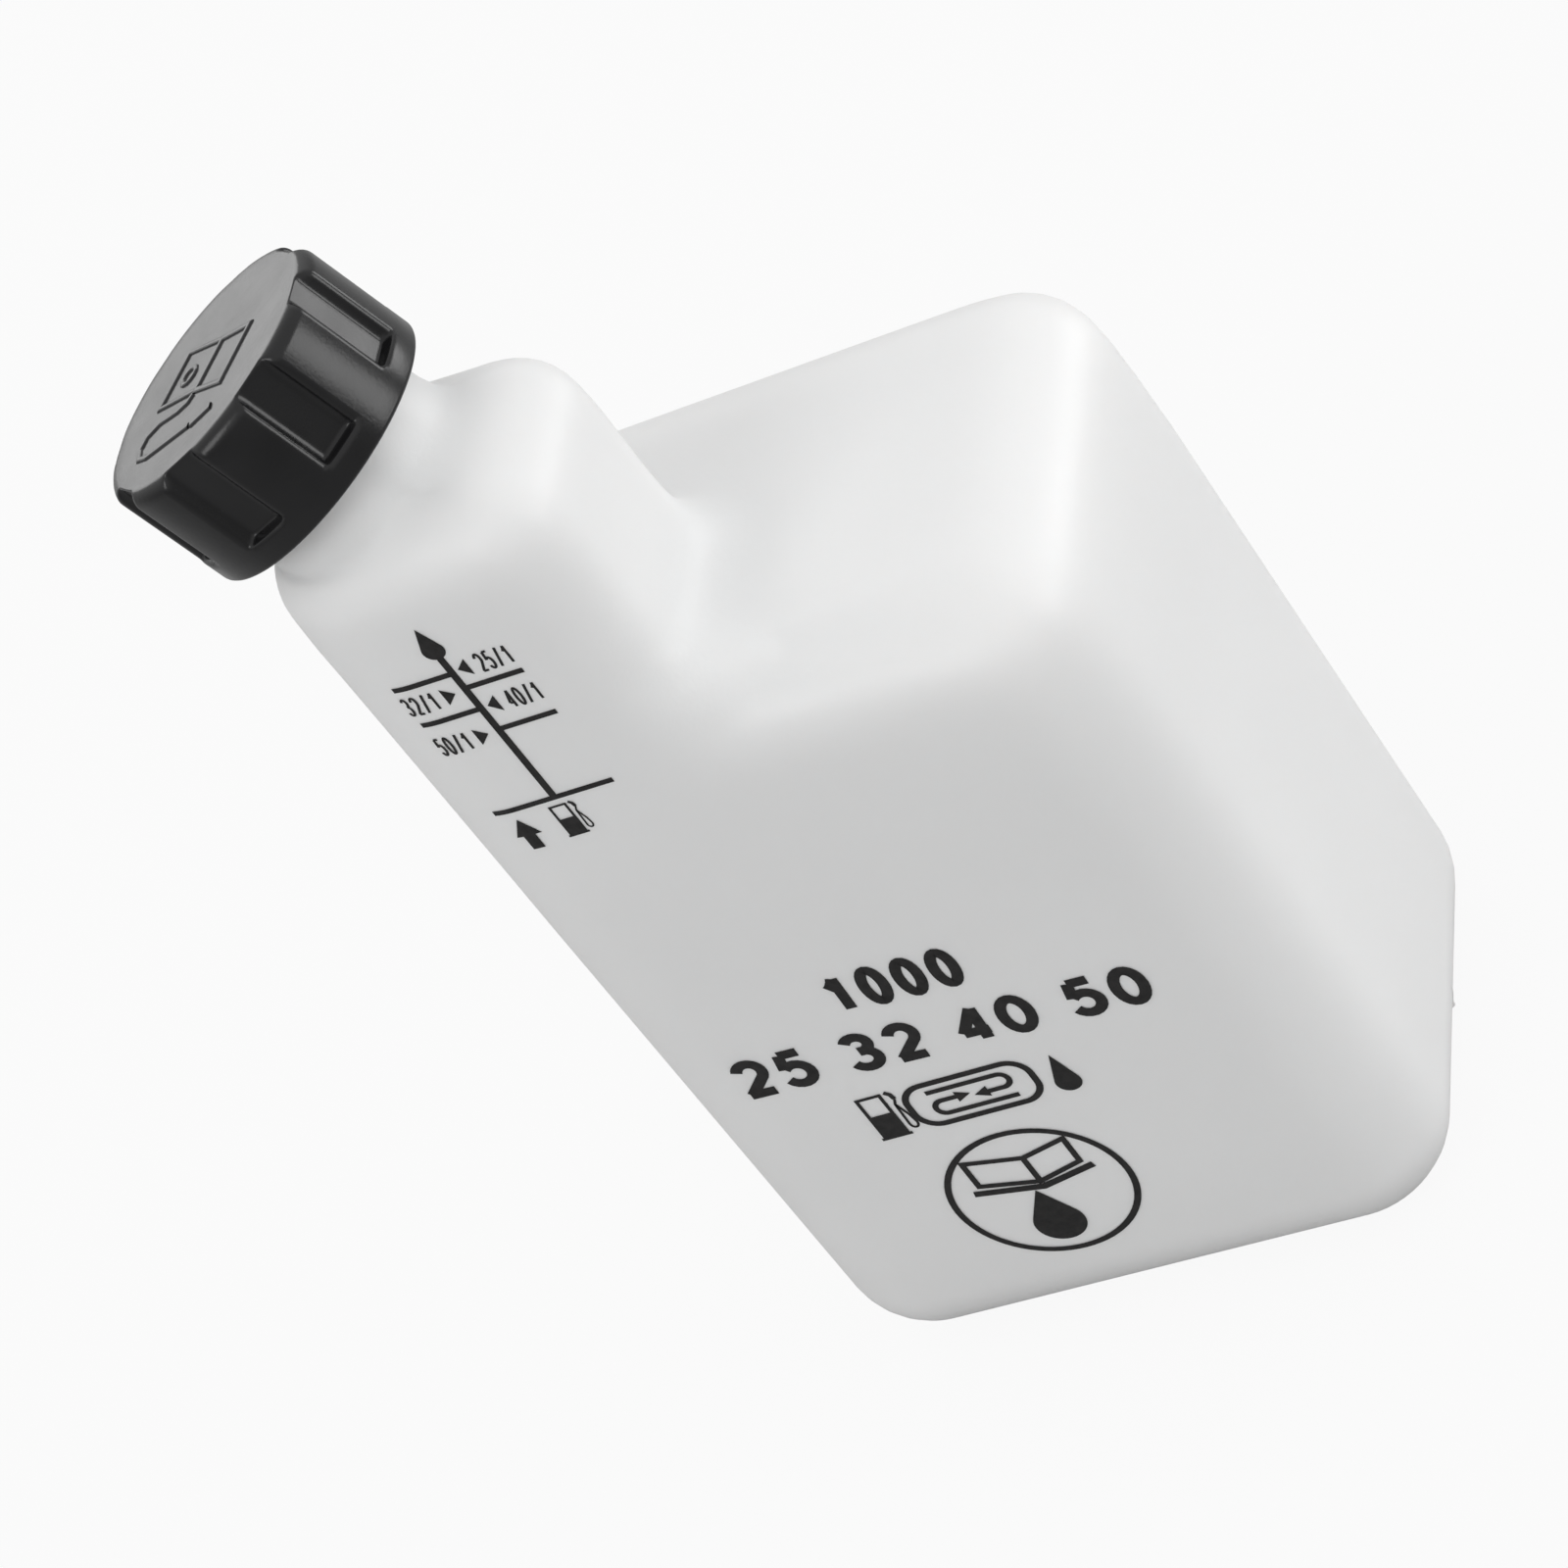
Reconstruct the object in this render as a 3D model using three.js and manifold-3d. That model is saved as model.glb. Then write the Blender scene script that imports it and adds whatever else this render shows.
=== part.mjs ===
import * as THREE from 'three';
import { mergeVertices } from 'three/addons/utils/BufferGeometryUtils.js';
import Module from 'manifold-3d';

// Mixing bottle: a wide fuel body, a narrow oil column on its front left corner,
// and a screw neck that leans out over the left wall.
// Millimetres, +Z up, the scale face looks along -Y, the base stands on Z = 0.

// Wide body
const bodyWidth = 104;
const bodyDepth = 79.6;
const shoulderHeight = 145.4;
const shoulderSlope = THREE.MathUtils.degToRad(1.1);
const bodyEdgeRadius = 16.5;
const baseEdgeRadius = 14.8;
const shoulderEdgeRadius = 14.8;
const baseRecess = 1.6;
const standingRimWidth = 7;
const recessSlopeWidth = 3;

// Narrow column, flush with the body's front and left walls
const columnWidth = 47.8;
const columnDepth = 42;
const columnHeight = 189.8;
const columnEdgeRadius = 11.5;
const shoulderFilletRadius = 12;

// Blown wall, the same all over
const wallThickness = 1.5;

// Neck
const neckLeanLeft = THREE.MathUtils.degToRad(20.1);
const neckLeanBack = THREE.MathUtils.degToRad(3.2);
const neckInsetFromLeft = 16.4;
const neckRadius = 16.2;
const neckLength = 20.6;
const neckRootRise = 0.5;
const neckWallThickness = 1.8;
const lipRounding = 0.7;

// Screw cap
const capRadius = 21.8;
const capBoreRadius = 18.2;
const capTopThickness = 2.2;
const capRimStandoff = 5;
const capTopRounding = 2.2;
const capRimChamfer = 0.7;
const gripCount = 8;
const gripPocketWidth = 8;
const gripPocketDepth = 1.9;
const gripPocketTaper = 0.5;
const gripBandHeight = 4.4;
const gripTurn = THREE.MathUtils.degToRad(3.5);

// Sealing disc in the cap
const sealThickness = 1.6;
const sealSideClearance = 0.4;
const restClearance = 0.3;

// Fineness of the facets
const cornerSteps = 5;
const widestDirectionStep = THREE.MathUtils.degToRad(8);
const narrowestDirectionStep = THREE.MathUtils.degToRad(0.8);
const roundingSteps = 5;
const shoulderFlatSteps = 2;
const neckBlendSteps = 6;
const turnSegments = 72;
const weldDistance = 1e-4;

// Share of the room beside the neck that the column's top rounding may take
const topRoundingShare = 0.6;
const steepestTopRounding = THREE.MathUtils.degToRad(80);
const neckBlendPull = 0.42;

const axisAlong = new THREE.Vector3(-Math.tan(neckLeanLeft), Math.tan(neckLeanBack), 1).normalize();
const axisAcross = new THREE.Vector3(0, 1, 0).cross(axisAlong).normalize();
const axisSide = axisAlong.clone().cross(axisAcross);

// Places in plan, with the middle of the body at X = 0 and Y = 0
const columnMiddle = new THREE.Vector2(-bodyWidth / 2 + columnWidth / 2, -bodyDepth / 2 + columnDepth / 2);
const neckFoot = new THREE.Vector3(-bodyWidth / 2 + neckInsetFromLeft, columnMiddle.y, columnHeight);

function neckPoint(radius, angle, rise) {
  return neckFoot.clone()
    .addScaledVector(axisAlong, rise)
    .addScaledVector(axisAcross, radius * Math.cos(angle))
    .addScaledVector(axisSide, radius * Math.sin(angle));
}

// Rounded rectangles in plan, measured from the column's middle
function bodyOutline(inset) {
  return {
    left: bodyWidth / 2 + columnMiddle.x - inset,
    right: bodyWidth / 2 - columnMiddle.x - inset,
    front: bodyDepth / 2 + columnMiddle.y - inset,
    back: bodyDepth / 2 - columnMiddle.y - inset,
    flushRadius: Math.max(bodyEdgeRadius - inset, 0),
    radius: Math.max(bodyEdgeRadius - inset, 0),
  };
}

function columnOutline(inset) {
  return {
    left: columnWidth / 2 - inset,
    right: columnWidth / 2 - inset,
    front: columnDepth / 2 - inset,
    back: columnDepth / 2 - inset,
    flushRadius: Math.max(bodyEdgeRadius - inset, 0),
    radius: Math.max(columnEdgeRadius - inset, 0),
  };
}

function cornersOf(outline) {
  return [[1, 1], [-1, 1], [-1, -1], [1, -1]].map(([signX, signY]) => {
    const radius = signX < 0 && signY < 0 ? outline.flushRadius : outline.radius;
    const wallX = signX > 0 ? outline.right : outline.left;
    const wallY = signY > 0 ? outline.back : outline.front;
    const centre = new THREE.Vector2(signX * (wallX - radius), signY * (wallY - radius));
    return { signX, signY, radius, wallX, wallY, centre };
  });
}

// Where one direction from the column's middle meets an outline, and the way out of the wall there
function wallAt(outline, angle) {
  const along = new THREE.Vector2(Math.cos(angle), Math.sin(angle));
  const signX = along.x < 0 ? -1 : 1;
  const signY = along.y < 0 ? -1 : 1;
  const corner = cornersOf(outline).find((each) => each.signX === signX && each.signY === signY);
  const toSide = Math.abs(corner.wallX / along.x);
  const toFace = Math.abs(corner.wallY / along.y);
  const point = along.clone().multiplyScalar(Math.min(toSide, toFace));
  const pastX = signX * (point.x - corner.centre.x) > 0;
  const pastY = signY * (point.y - corner.centre.y) > 0;
  if (!pastX || !pastY || corner.radius === 0) {
    const out = toSide < toFace ? new THREE.Vector2(signX, 0) : new THREE.Vector2(0, signY);
    return { point, out };
  }
  const middle = along.dot(corner.centre);
  const half = Math.sqrt(Math.max(corner.radius ** 2 - corner.centre.lengthSq() + middle ** 2, 0));
  const onArc = along.multiplyScalar(middle + half);
  return { point: onArc, out: onArc.clone().sub(corner.centre).divideScalar(corner.radius) };
}

function reach(outline, angle) {
  return wallAt(outline, angle).point.length();
}

// Directions of the loft: the corner arcs of both outlines, then fill-ins where they are far apart
function loftDirections() {
  const angles = [bodyOutline(0), columnOutline(0)].flatMap((outline) => cornersOf(outline).flatMap((corner) => {
    const start = Math.atan2(corner.signY, corner.signX) - Math.PI / 4;
    return Array.from({ length: cornerSteps + 1 }, (_, step) => {
      const turn = start + (Math.PI / 2) * step / cornerSteps;
      const x = corner.centre.x + corner.radius * Math.cos(turn);
      const y = corner.centre.y + corner.radius * Math.sin(turn);
      return THREE.MathUtils.euclideanModulo(Math.atan2(y, x), 2 * Math.PI);
    });
  })).sort((a, b) => a - b);
  const spaced = angles.filter((angle, i) => i === 0 || angle - angles[i - 1] > narrowestDirectionStep);
  return spaced.flatMap((angle, i) => {
    const next = i + 1 < spaced.length ? spaced[i + 1] : spaced[0] + 2 * Math.PI;
    const parts = Math.ceil((next - angle) / widestDirectionStep);
    return Array.from({ length: parts }, (_, part) => angle + (next - angle) * part / parts);
  });
}

function steps(count, make) {
  return Array.from({ length: count + 1 }, (_, i) => make(i / count));
}

function placeInPlan(angle, [radius, height]) {
  const x = columnMiddle.x + radius * Math.cos(angle);
  const y = columnMiddle.y + radius * Math.sin(angle);
  return new THREE.Vector3(x, y, height);
}

// Base: a shallow recess, the flat standing rim and the rounding up to the wall
function baseProfile(angle, inset) {
  const radius = baseEdgeRadius - inset;
  const halfWidth = bodyWidth / 2 - baseEdgeRadius;
  const halfDepth = bodyDepth / 2 - baseEdgeRadius;
  const wall = wallAt(bodyOutline(inset), angle);
  const rounding = steps(roundingSteps, (t) => {
    const turn = t * Math.PI / 2;
    const point = wall.point.clone().addScaledVector(wall.out, -radius * (1 - Math.sin(turn))).add(columnMiddle);
    return new THREE.Vector3(point.x, point.y, baseEdgeRadius - radius * Math.cos(turn));
  });
  const drawnIn = (width, height) => new THREE.Vector3(
    rounding[0].x * (1 - width / halfWidth),
    rounding[0].y * (1 - width / halfDepth),
    height,
  );
  return [
    drawnIn(standingRimWidth + recessSlopeWidth, baseRecess + inset),
    drawnIn(standingRimWidth, inset),
    ...rounding,
  ];
}

// The shoulder falls a little towards the column, so that the last of the fuel runs out
function slopedToColumn(point) {
  const fromRight = bodyWidth / 2 - point.x;
  return point.setZ(point.z - fromRight * Math.tan(shoulderSlope));
}

// Shoulder: out from the wide wall over a rounding, across the flat and up a fillet to the column.
// Where the two walls are flush, the rings spread evenly over the same height.
function shoulderProfile(angle, inset) {
  const outer = shoulderEdgeRadius - inset;
  const inner = shoulderFilletRadius + inset;
  const top = shoulderHeight - inset;
  const wide = reach(bodyOutline(inset), angle);
  const narrow = reach(columnOutline(inset), angle);
  const roundingReach = wide - reach(bodyOutline(shoulderEdgeRadius), angle);
  const filletReach = reach(columnOutline(-shoulderFilletRadius), angle) - narrow;
  const room = Math.min(1, (wide - narrow) / (roundingReach + filletReach));
  const rounding = steps(roundingSteps, (t) => {
    const turn = t * Math.PI / 2;
    const taken = wide - reach(bodyOutline(shoulderEdgeRadius - outer * Math.cos(turn)), angle);
    return [wide - room * taken, top - outer + outer * Math.sin(turn)];
  });
  const fillet = steps(roundingSteps, (t) => {
    const turn = t * Math.PI / 2;
    const offset = shoulderFilletRadius - inner * Math.sin(turn);
    const left = reach(columnOutline(-offset), angle) - narrow;
    return [narrow + room * left, top + inner * (1 - Math.cos(turn))];
  });
  const from = rounding[roundingSteps][0];
  const to = fillet[0][0];
  const flat = steps(shoulderFlatSteps, (t) => [THREE.MathUtils.lerp(from, to, t), top]);
  const stepped = [...rounding, ...flat.slice(1, -1), ...fillet];
  return stepped.map(([radius, height], i) => {
    const t = i / (stepped.length - 1);
    const flushRadius = THREE.MathUtils.lerp(wide, narrow, THREE.MathUtils.smoothstep(t, 0, 1));
    const flushHeight = THREE.MathUtils.lerp(top - outer, top + inner, t);
    return slopedToColumn(placeInPlan(angle, [
      THREE.MathUtils.lerp(flushRadius, radius, room),
      THREE.MathUtils.lerp(flushHeight, height, room),
    ]));
  });
}

// Top of the column: its rounded edge, then a curve that ends along the leaning neck
function topCurve(angle, inset, neckOuter) {
  const radius = columnEdgeRadius - inset;
  const top = columnHeight - inset;
  const wall = reach(columnOutline(inset), angle);
  const root = neckPoint(neckOuter, angle, neckRootRise);
  const outward = new THREE.Vector3(Math.cos(angle), Math.sin(angle), 0);
  const rootReach = root.clone().sub(placeInPlan(angle, [0, root.z])).dot(outward);
  const share = Math.max(wall - rootReach, 0) * topRoundingShare;
  const roomTurn = Math.acos(Math.max(1 - share / radius, 0));
  const lastTurn = Math.min(roomTurn, steepestTopRounding);
  const rounding = steps(roundingSteps, (t) => {
    const turn = t * lastTurn;
    const depth = inset + radius * (1 - Math.cos(turn));
    return placeInPlan(angle, [reach(columnOutline(depth), angle), top - radius + radius * Math.sin(turn)]);
  });
  const start = rounding[roundingSteps];
  const pull = start.distanceTo(root) * neckBlendPull;
  const leaving = outward.clone().multiplyScalar(-Math.sin(lastTurn)).setZ(Math.cos(lastTurn));
  const blend = new THREE.CubicBezierCurve3(
    start,
    start.clone().addScaledVector(leaving, pull),
    root.clone().addScaledVector(axisAlong, -pull),
    root,
  );
  return [...rounding, ...blend.getPoints(neckBlendSteps).slice(1)];
}

// One side of the blown wall in one direction, from the base to the neck's root
function wallProfile(angle, inset, neckOuter) {
  return [...baseProfile(angle, inset), ...shoulderProfile(angle, inset), ...topCurve(angle, inset, neckOuter)];
}

function lipProfile(angle) {
  const bore = neckRadius - neckWallThickness;
  return [
    neckPoint(neckRadius, angle, neckLength - lipRounding),
    neckPoint(neckRadius - lipRounding, angle, neckLength),
    neckPoint(bore + lipRounding, angle, neckLength),
    neckPoint(bore, angle, neckLength - lipRounding),
  ];
}

// Loft through rings of points, closed by a fan at both ends
function loftGeometry(rings, firstPole, lastPole) {
  const around = rings[0].length;
  const points = [...rings.flat(), firstPole, lastPole];
  const first = points.length - 2;
  const last = points.length - 1;
  const index = [];
  for (let k = 0; k < around; k += 1) {
    const next = (k + 1) % around;
    for (let ring = 0; ring + 1 < rings.length; ring += 1) {
      const low = ring * around;
      const high = low + around;
      index.push(low + k, low + next, high + next, low + k, high + next, high + k);
    }
    const end = (rings.length - 1) * around;
    index.push(first, next, k, last, end + k, end + next);
  }
  const geometry = new THREE.BufferGeometry().setFromPoints(points);
  geometry.setIndex(index);
  geometry.computeVertexNormals();
  return geometry;
}

function bottleGeometry() {
  const bore = neckRadius - neckWallThickness;
  const columns = loftDirections().map((angle) => [
    ...wallProfile(angle, 0, neckRadius),
    ...lipProfile(angle),
    ...wallProfile(angle, wallThickness, bore).reverse(),
  ]);
  const rings = columns[0].map((_, i) => columns.map((column) => column[i]));
  const outside = new THREE.Vector3(0, 0, baseRecess);
  const inside = new THREE.Vector3(0, 0, baseRecess + wallThickness);
  return loftGeometry(rings, outside, inside);
}

// Turned solids are made along +Y by the lathe and stood up along +Z
function turned(profile) {
  const points = profile.map(([radius, height]) => new THREE.Vector2(radius, height));
  return new THREE.LatheGeometry(points, turnSegments).rotateX(Math.PI / 2);
}

function sealGeometry() {
  const radius = capBoreRadius - sealSideClearance;
  return turned([[0, 0], [radius, 0], [radius, sealThickness], [0, sealThickness]]);
}

// Heights over the cap's rim
const lipHeight = neckLength - capRimStandoff;
const sealHeight = lipHeight + restClearance;
const ceilingHeight = sealHeight + sealThickness + restClearance;
const capHeight = ceilingHeight + capTopThickness;

function capBlank() {
  const outer = capRadius - capTopRounding;
  const rounding = steps(roundingSteps, (t) => {
    const turn = (1 - t) * Math.PI / 2;
    return [outer + capTopRounding * Math.sin(turn), capHeight - capTopRounding * (1 - Math.cos(turn))];
  });
  return turned([
    [0, ceilingHeight],
    [capBoreRadius, ceilingHeight],
    [capBoreRadius, 0],
    [capRadius - capRimChamfer, 0],
    [capRadius, capRimChamfer],
    ...rounding,
    [0, capHeight],
  ]);
}

// Grip pocket with sloping sides, open at the top and closed below by the band
function gripPocket(angle) {
  const floor = capRadius - gripPocketDepth;
  const beyond = capRadius + gripPocketDepth;
  const half = gripPocketWidth / 2;
  const shape = new THREE.Shape([
    new THREE.Vector2(floor, -half + gripPocketTaper),
    new THREE.Vector2(beyond, -half - gripPocketTaper),
    new THREE.Vector2(beyond, half + gripPocketTaper),
    new THREE.Vector2(floor, half - gripPocketTaper),
  ]);
  const geometry = new THREE.ExtrudeGeometry(shape, { depth: capHeight, bevelEnabled: false });
  return geometry.translate(0, 0, gripBandHeight).rotateZ(angle);
}

const wasm = await Module();
wasm.setup();

function solidFrom(geometry) {
  const bare = geometry.clone();
  bare.deleteAttribute('normal');
  bare.deleteAttribute('uv');
  const merged = mergeVertices(bare, weldDistance);
  const corners = merged.index.array;
  const faces = [];
  for (let i = 0; i < corners.length; i += 3) {
    const [a, b, c] = corners.slice(i, i + 3);
    if (a !== b && b !== c && c !== a) {
      faces.push(a, b, c);
    }
  }
  return new wasm.Manifold(new wasm.Mesh({
    numProp: 3,
    vertProperties: new Float32Array(merged.attributes.position.array),
    triVerts: new Uint32Array(faces),
  }));
}

function geometryFrom(solid) {
  const mesh = solid.getMesh();
  const geometry = new THREE.BufferGeometry();
  geometry.setAttribute('position', new THREE.BufferAttribute(mesh.vertProperties, 3));
  geometry.setIndex(new THREE.BufferAttribute(mesh.triVerts, 1));
  geometry.computeVertexNormals();
  return geometry;
}

function capGeometry() {
  let cap = solidFrom(capBlank());
  for (let grip = 0; grip < gripCount; grip += 1) {
    cap = cap.subtract(solidFrom(gripPocket(gripTurn + 2 * Math.PI * grip / gripCount)));
  }
  return geometryFrom(cap);
}

function named(name, geometry, look) {
  const mesh = new THREE.Mesh(geometry, new THREE.MeshStandardMaterial(look));
  mesh.name = name;
  return mesh;
}

const bottle = named('bottle', bottleGeometry(), { color: 0xecebea, roughness: 0.42, metalness: 0 });
const cap = named('cap', capGeometry(), { color: 0x1c1c1e, roughness: 0.32, metalness: 0 });
const seal = named('cap_seal', sealGeometry(), { color: 0xe6e4de, roughness: 0.7, metalness: 0 });
seal.position.z = sealHeight;

const closure = new THREE.Group();
closure.add(cap, seal);
closure.position.copy(neckFoot).addScaledVector(axisAlong, capRimStandoff);
closure.quaternion.setFromRotationMatrix(new THREE.Matrix4().makeBasis(axisAcross, axisSide, axisAlong));

// The origin is the middle of the whole bottle's box, on the surface that it stands on
const model = new THREE.Group();
model.add(bottle, closure);
const bounds = new THREE.Box3().setFromObject(model);
const middle = bounds.getCenter(new THREE.Vector3());
model.position.set(-middle.x, -middle.y, -bounds.min.z);

export default model;
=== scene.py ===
import math

import bmesh
import bpy
import numpy as np
from mathutils import Matrix, Vector


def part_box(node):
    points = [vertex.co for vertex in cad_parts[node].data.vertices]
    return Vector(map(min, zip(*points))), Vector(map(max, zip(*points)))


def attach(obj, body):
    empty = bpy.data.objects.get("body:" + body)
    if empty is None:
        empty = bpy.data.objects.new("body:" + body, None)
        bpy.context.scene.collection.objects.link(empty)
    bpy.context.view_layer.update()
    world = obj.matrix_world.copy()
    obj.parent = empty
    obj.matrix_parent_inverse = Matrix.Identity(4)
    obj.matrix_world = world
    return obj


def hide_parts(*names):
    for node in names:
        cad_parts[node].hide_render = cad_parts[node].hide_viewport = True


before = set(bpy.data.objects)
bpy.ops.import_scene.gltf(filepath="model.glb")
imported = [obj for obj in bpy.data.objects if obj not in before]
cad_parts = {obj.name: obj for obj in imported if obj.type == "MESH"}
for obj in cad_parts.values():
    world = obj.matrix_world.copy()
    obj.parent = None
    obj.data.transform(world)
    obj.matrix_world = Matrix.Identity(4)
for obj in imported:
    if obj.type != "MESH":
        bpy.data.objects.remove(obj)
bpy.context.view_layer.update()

MM = 0.001
TURN = 2 * math.pi

# Bottle sizes in millimetres, the same as the solids'
BODY_WIDTH = 104.0
BODY_DEPTH = 79.6
SHOULDER_HEIGHT = 145.4
SHOULDER_SLOPE = math.radians(1.1)
BODY_EDGE = 16.5
BASE_EDGE = 14.8
SHOULDER_EDGE = 14.8
BASE_RECESS = 1.6
RIM_WIDTH = 7.0
RECESS_SLOPE = 3.0
COLUMN_WIDTH = 47.8
COLUMN_DEPTH = 42.0
COLUMN_HEIGHT = 189.8
COLUMN_EDGE = 11.5
SHOULDER_FILLET = 12.0
WALL = 1.5
BASE_MIDDLE_REACH = 2.0

# The leaning neck
NECK_LEAN_LEFT = math.radians(20.1)
NECK_LEAN_BACK = math.radians(3.2)
NECK_INSET = 16.4
NECK_RADIUS = 16.2
NECK_LENGTH = 20.6
NECK_ROOT_RISE = 0.5
NECK_WALL = 1.8
LIP_ROUNDING = 0.7
TOP_ROUNDING_SHARE = 0.6
STEEPEST_TOP_ROUNDING = math.radians(80)
NECK_BLEND_PULL = 0.42

# The cap, which a thin skin keeps inside the solids' box, and the seal under its ceiling
CAP_SKIN = 0.02
CAP_RADIUS = 21.8 - CAP_SKIN
CAP_BORE = 18.2
CAP_TOP = 2.2
CAP_STANDOFF = 5.0
CAP_TOP_ROUNDING = 2.2
CAP_RIM_CHAMFER = 0.7
CAP_BORE_CHAMFER = 0.5
CEILING_CHAMFER = 0.6
GRIPS = 8
GRIP_WIDTH = 8.0
GRIP_DEPTH = 1.9
GRIP_BAND = 4.4
GRIP_TURN = math.radians(3.5)
FLANK_REACH = 0.8
GRIP_END_REACH = 0.35
SEAL_THICKNESS = 1.6
REST_GAP = 0.3
CAP_CEILING = NECK_LENGTH - CAP_STANDOFF + SEAL_THICKNESS + 2 * REST_GAP
CAP_HEIGHT = CAP_CEILING + CAP_TOP - CAP_SKIN

# The coarse thread, on the neck and in the cap
THREAD_PITCH = 6.0
THREAD_HEIGHT = 1.3
THREAD_WIDTH = 2.2
THREAD_ROOT = 0.4
THREAD_RUN_OUT = 0.12
NECK_THREAD_START = 7.4
NECK_THREAD_TURNS = 1.6
NECK_THREAD_PHASE = 0.4
CAP_THREAD_START = CAP_STANDOFF + 4.2
CAP_THREAD_TURNS = 1.4

# Where the body's middle lies in the frame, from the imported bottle's own box
bottle_low, bottle_high = (Vector(corner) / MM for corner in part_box("bottle"))
BODY_MIDDLE = Vector((bottle_high.x - BODY_WIDTH / 2, (bottle_low.y + bottle_high.y) / 2, 0))
COLUMN_MIDDLE = np.array([-BODY_WIDTH / 2 + COLUMN_WIDTH / 2, -BODY_DEPTH / 2 + COLUMN_DEPTH / 2])
NECK_FOOT = np.array([-BODY_WIDTH / 2 + NECK_INSET, COLUMN_MIDDLE[1], COLUMN_HEIGHT])

# The neck's axis, and two directions across it
AXIS = np.array([-math.tan(NECK_LEAN_LEFT), math.tan(NECK_LEAN_BACK), 1.0])
AXIS = AXIS / np.linalg.norm(AXIS)
ACROSS = np.cross([0, 1, 0], AXIS)
ACROSS = ACROSS / np.linalg.norm(ACROSS)
SIDE = np.cross(AXIS, ACROSS)


def lerp(a, b, t):
    return a + (b - a) * t


def smoothstep(t):
    t = min(max(t, 0.0), 1.0)
    return t * t * (3 - 2 * t)


def steps(count):
    return [i / count for i in range(count + 1)]


# Rounded rectangles in plan, measured from the column's middle. The corner at the front left, where the body
# and the column are flush, has a radius of its own.
def outline(left, right, front, back, flush_radius, radius):
    corners = []
    for sx, sy in ((1, 1), (-1, 1), (-1, -1), (1, -1)):
        r = flush_radius if sx < 0 and sy < 0 else radius
        wall_x = right if sx > 0 else left
        wall_y = back if sy > 0 else front
        corners.append((sx, sy, r, wall_x, wall_y, np.array([sx * (wall_x - r), sy * (wall_y - r)])))
    return corners


def body_outline(inset):
    cx, cy = COLUMN_MIDDLE
    radius = max(BODY_EDGE - inset, 0)
    return outline(BODY_WIDTH / 2 + cx - inset, BODY_WIDTH / 2 - cx - inset,
                   BODY_DEPTH / 2 + cy - inset, BODY_DEPTH / 2 - cy - inset, radius, radius)


def column_outline(inset):
    return outline(COLUMN_WIDTH / 2 - inset, COLUMN_WIDTH / 2 - inset, COLUMN_DEPTH / 2 - inset,
                   COLUMN_DEPTH / 2 - inset, max(BODY_EDGE - inset, 0), max(COLUMN_EDGE - inset, 0))


# Where a direction from the column's middle meets the wall, and the wall's outward normal there
def wall_at(corners, angle):
    along = np.array([math.cos(angle), math.sin(angle)])
    signs = (-1 if along[0] < 0 else 1, -1 if along[1] < 0 else 1)
    sx, sy, radius, wall_x, wall_y, centre = next(c for c in corners if c[:2] == signs)
    to_side = abs(wall_x / along[0]) if along[0] else math.inf
    to_face = abs(wall_y / along[1]) if along[1] else math.inf
    point = along * min(to_side, to_face)
    past = (point - centre) * np.array(signs) > 0
    if not past.all() or radius == 0:
        return point, np.array([sx, 0.0]) if to_side < to_face else np.array([0.0, sy])
    middle = along @ centre
    point = along * (middle + math.sqrt(max(radius ** 2 - centre @ centre + middle ** 2, 0)))
    return point, (point - centre) / radius


def reach(corners, angle):
    return np.linalg.norm(wall_at(corners, angle)[0])


def in_plan(angle, radius, height):
    x, y = COLUMN_MIDDLE + radius * np.array([math.cos(angle), math.sin(angle)])
    return np.array([x, y, height])


# A point around the neck's axis, with its rise along that axis from the neck's foot
def neck_point(radius, angle, rise):
    return NECK_FOOT + AXIS * rise + radius * (ACROSS * math.cos(angle) + SIDE * math.sin(angle))


# The loft's fineness, and the creases that blowing rounds: lowest and highest millimetre, smoothing passes
CORNER_STEPS = 12
WIDEST_STEP = math.radians(2.5)
NARROWEST_STEP = math.radians(0.3)
OUTER_STEPS = 10
INNER_STEPS = 6
BODY_WALL_STEPS = 6
COLUMN_WALL_STEPS = 4
SOFT_ZONES = [(126, 168, 8), (178, 197, 10)]


# Directions around the column's middle, close together at the corners of both outlines
def loft_directions():
    angles = []
    for corners in (body_outline(0), column_outline(0)):
        for sx, sy, radius, _, _, centre in corners:
            start = math.atan2(sy, sx) - math.pi / 4
            for t in steps(CORNER_STEPS):
                turn = start + math.pi / 2 * t
                x, y = centre + radius * np.array([math.cos(turn), math.sin(turn)])
                angles.append(math.atan2(y, x) % TURN)
    angles.sort()
    spaced = [a for i, a in enumerate(angles) if i == 0 or a - angles[i - 1] > NARROWEST_STEP]
    filled = []
    for angle, following in zip(spaced, spaced[1:] + [spaced[0] + TURN]):
        parts = math.ceil((following - angle) / WIDEST_STEP)
        filled += [lerp(angle, following, part / parts) for part in range(parts)]
    return filled


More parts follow.
